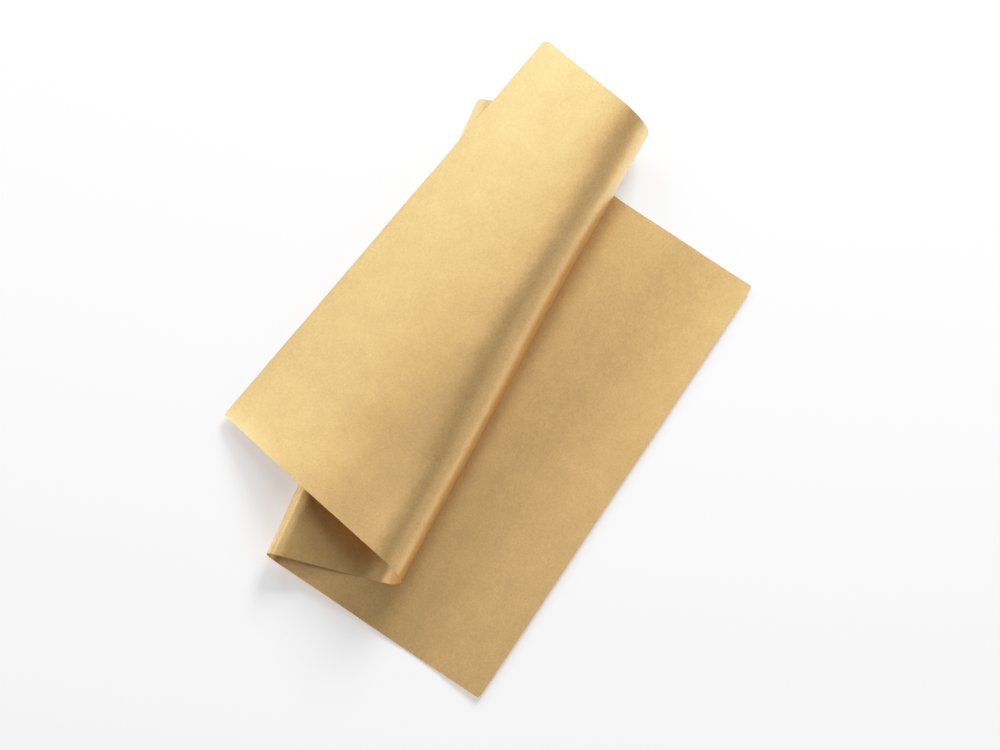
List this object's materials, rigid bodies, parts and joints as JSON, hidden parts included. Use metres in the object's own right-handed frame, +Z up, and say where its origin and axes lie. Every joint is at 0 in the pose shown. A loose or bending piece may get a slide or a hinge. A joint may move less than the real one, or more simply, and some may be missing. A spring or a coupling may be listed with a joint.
{
  "type": "folded sheet of gold wrapping paper",
  "caption": "Sheet of satin gold wrapping paper, loosely folded in three like a Z and laid flat; both folds open together on hinges.",
  "frame": {"origin": "centre of the folded sheet's bounding box in plan, on the surface it lies on", "axes": "+Z up; +Y along the bottom panel's free edge; +X from the left fold towards that free edge"},
  "size_m": [0.3711, 0.5882, 0.064],
  "materials": {
    "gold_paper": "satin metallic gold on both faces, fine grain"
  },
  "bodies": {
    "bottom_leaf": {"bottom_panel": "gold_paper", "left_fold_lower": "gold_paper"},
    "middle_leaf": {"left_fold_upper": "gold_paper", "middle_panel": "gold_paper", "right_fold_lower": "gold_paper"},
    "top_leaf": {"right_fold_upper": "gold_paper", "top_panel": "gold_paper"}
  },
  "joints": [
    {"name": "left_fold", "type": "hinge", "parent": "bottom_leaf", "child": "middle_leaf", "pos_m": [-0.11191, -0.04254, 0.01722], "axis": [0.1628, -0.9866, -0.0096], "range_deg": [0, 165]},
    {"name": "right_fold", "type": "hinge", "parent": "middle_leaf", "child": "top_leaf", "pos_m": [0.03292, 0.014, 0.03219], "axis": [-0.097, 0.9953, 0.0026], "range_deg": [0, 165]}
  ],
  "couplings": [
    {"joint": "right_fold", "follows": "left_fold", "ratio": 1}
  ]
}
